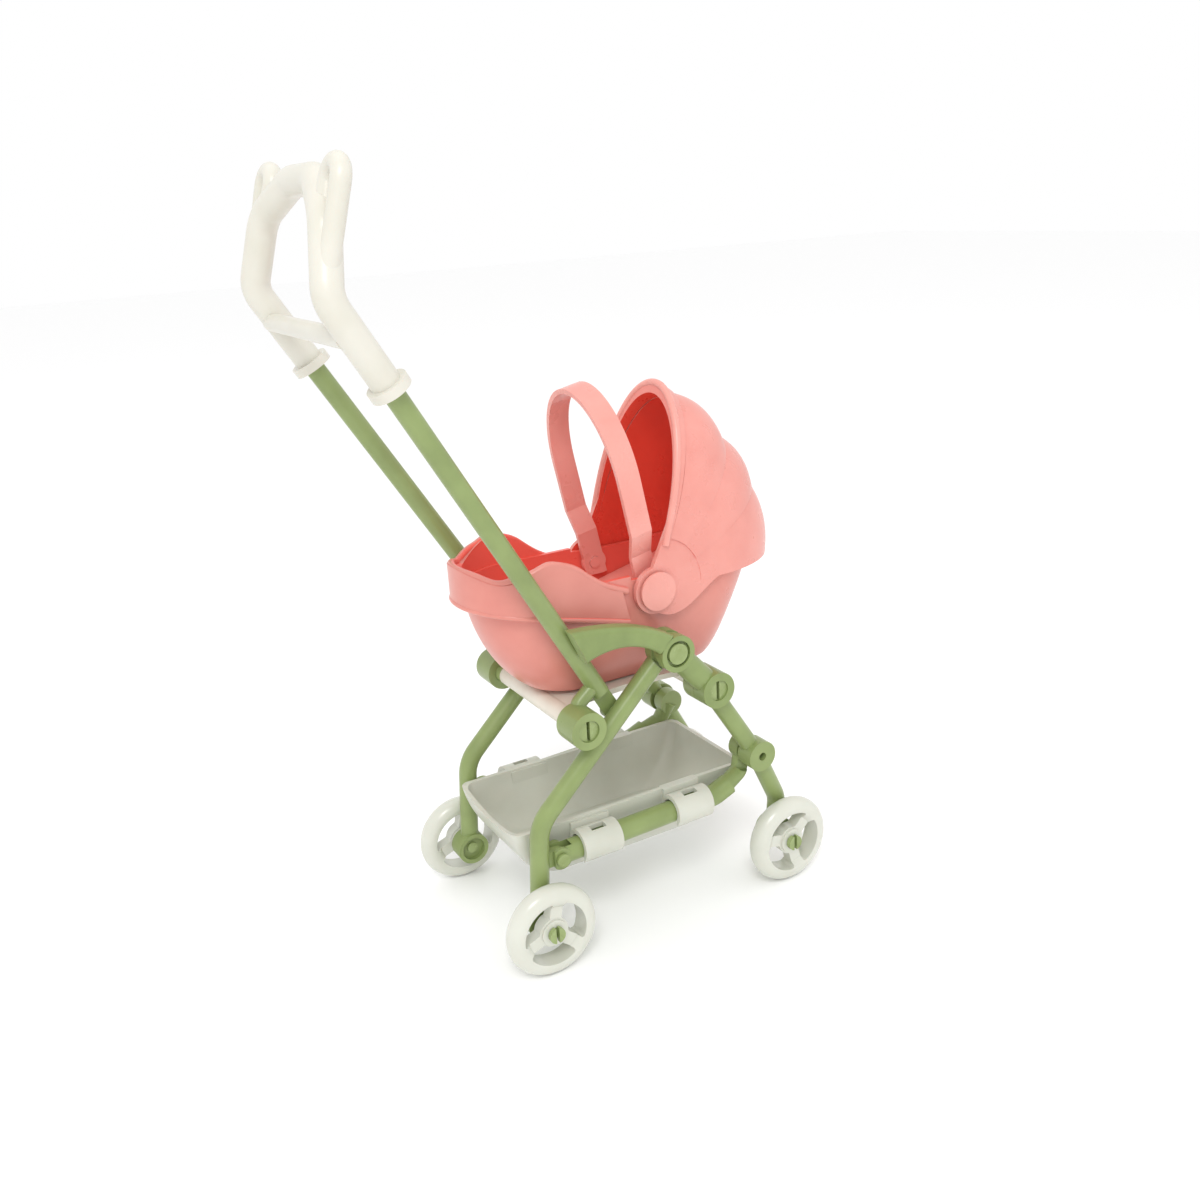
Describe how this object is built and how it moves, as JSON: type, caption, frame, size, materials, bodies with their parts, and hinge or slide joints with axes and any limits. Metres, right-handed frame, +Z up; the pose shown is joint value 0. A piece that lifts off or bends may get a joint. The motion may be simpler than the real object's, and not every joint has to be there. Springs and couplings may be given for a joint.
{
  "type": "doll stroller",
  "caption": "Small folding doll stroller: tall push handle, green linkage frame, pink lift-off carrier with scalloped hood, basket and spoked wheels.",
  "frame": {"origin": "on the floor under the middle of the stroller", "axes": "+Z up, +X forwards towards the front wheels and hood, +Y to the left"},
  "size_m": [0.1312, 0.0644, 0.2022],
  "materials": {
    "handle_cream": "moulded",
    "frame_green": "moulded",
    "carrier_pink": "moulded",
    "mat_pink": "moulded",
    "wheel_white": "moulded",
    "basket_grey": "moulded",
    "tray_cream": "moulded"
  },
  "bodies": {
    "rear_frame": {"rear_leg_left": "frame_green", "rear_leg_right": "frame_green", "hip_pin_left": "frame_green", "hip_pin_right": "frame_green", "rail_pin_left": "frame_green", "rail_pin_right": "frame_green", "rear_axle_pin_left": "frame_green", "rear_axle_pin_right": "frame_green"},
    "handle_frame": {"push_handle": "handle_cream", "push_rod_left": "frame_green", "push_rod_right": "frame_green"},
    "seat": {"seat_tray": "tray_cream", "seat_pin_left": "frame_green", "seat_pin_right": "frame_green"},
    "carrier": {"carrier_tub": "carrier_pink", "carrier_mat": "mat_pink", "hub_pin_left": "carrier_pink", "hub_pin_right": "carrier_pink"},
    "hood_cover": {"hood": "carrier_pink"},
    "carry_strap": {"carry_handle": "carrier_pink"},
    "front_links": {"front_link_left": "frame_green", "front_link_right": "frame_green", "knee_pin_left": "frame_green", "knee_pin_right": "frame_green"},
    "front_legs": {"front_leg_left": "frame_green", "front_leg_right": "frame_green", "front_axle_pin_left": "frame_green", "front_axle_pin_right": "frame_green"},
    "lower_frame": {"side_rail_left": "frame_green", "side_rail_right": "frame_green", "basket": "basket_grey"},
    "armrest_l": {"armrest_left": "frame_green"},
    "armrest_r": {"armrest_right": "frame_green"},
    "wheel_rear_l": {"rear_wheel_left": "wheel_white"},
    "wheel_rear_r": {"rear_wheel_right": "wheel_white"},
    "wheel_front_l": {"front_wheel_left": "wheel_white"},
    "wheel_front_r": {"front_wheel_right": "wheel_white"}
  },
  "joints": [
    {"name": "handle_fold", "type": "hinge", "parent": "rear_frame", "child": "handle_frame", "pos_m": [0.00237, 0, 0.0636], "axis": [0, 1, 0], "range_deg": [0, 40]},
    {"name": "seat_tilt", "type": "hinge", "parent": "handle_frame", "child": "seat", "pos_m": [-0.00978, 0, 0.0645], "axis": [0, 1, 0], "range_deg": [-34.94, 0]},
    {"name": "front_link_swing", "type": "hinge", "parent": "rear_frame", "child": "front_links", "pos_m": [0.01762, 0, 0.0786], "axis": [0, 1, 0], "range_deg": [-16.3, 0]},
    {"name": "knee_bend", "type": "hinge", "parent": "front_links", "child": "front_legs", "pos_m": [0.03012, 0, 0.065], "axis": [0, 1, 0], "range_deg": [0, 24.99]},
    {"name": "rail_swing", "type": "hinge", "parent": "rear_frame", "child": "lower_frame", "pos_m": [-0.01818, 0, 0.0292], "axis": [0, 1, 0], "range_deg": [-2.03, 0]},
    {"name": "carrier_lift", "type": "slide", "parent": "seat", "child": "carrier", "axis": [-0.6392, 0, -0.769], "range_m": [-0.045, 0]},
    {"name": "hood_fold", "type": "hinge", "parent": "carrier", "child": "hood_cover", "pos_m": [0.01782, 0, 0.0933], "axis": [0, 1, 0], "range_deg": [0, 30]},
    {"name": "carry_handle_swing", "type": "hinge", "parent": "carrier", "child": "carry_strap", "pos_m": [0.01782, 0, 0.0933], "axis": [0, 1, 0], "range_deg": [-35, 0]},
    {"name": "armrest_left_lift", "type": "hinge", "parent": "rear_frame", "child": "armrest_l", "pos_m": [0.01762, 0.025, 0.0786], "axis": [0, 1, 0], "range_deg": [0, 40]},
    {"name": "armrest_right_lift", "type": "hinge", "parent": "rear_frame", "child": "armrest_r", "pos_m": [0.01762, -0.025, 0.0786], "axis": [0, 1, 0], "range_deg": [0, 40]},
    {"name": "rear_left_wheel_spin", "type": "hinge", "parent": "rear_frame", "child": "wheel_rear_l", "pos_m": [-0.02468, 0.0284, 0.0127], "axis": [0, 1, 0], "continuous": true},
    {"name": "rear_right_wheel_spin", "type": "hinge", "parent": "rear_frame", "child": "wheel_rear_r", "pos_m": [-0.02468, -0.0284, 0.0127], "axis": [0, 1, 0], "continuous": true},
    {"name": "front_left_wheel_spin", "type": "hinge", "parent": "front_legs", "child": "wheel_front_l", "pos_m": [0.05292, 0.0284, 0.0127], "axis": [0, 1, 0], "continuous": true},
    {"name": "front_right_wheel_spin", "type": "hinge", "parent": "front_legs", "child": "wheel_front_r", "pos_m": [0.05292, -0.0284, 0.0127], "axis": [0, 1, 0], "continuous": true}
  ],
  "couplings": [
    {"joint": "seat_tilt", "follows": "handle_fold", "ratio": -0.8722},
    {"joint": "front_link_swing", "follows": "handle_fold", "ratio": -0.40634},
    {"joint": "knee_bend", "follows": "handle_fold", "ratio": 0.62353},
    {"joint": "rail_swing", "follows": "handle_fold", "ratio": -0.04949}
  ]
}
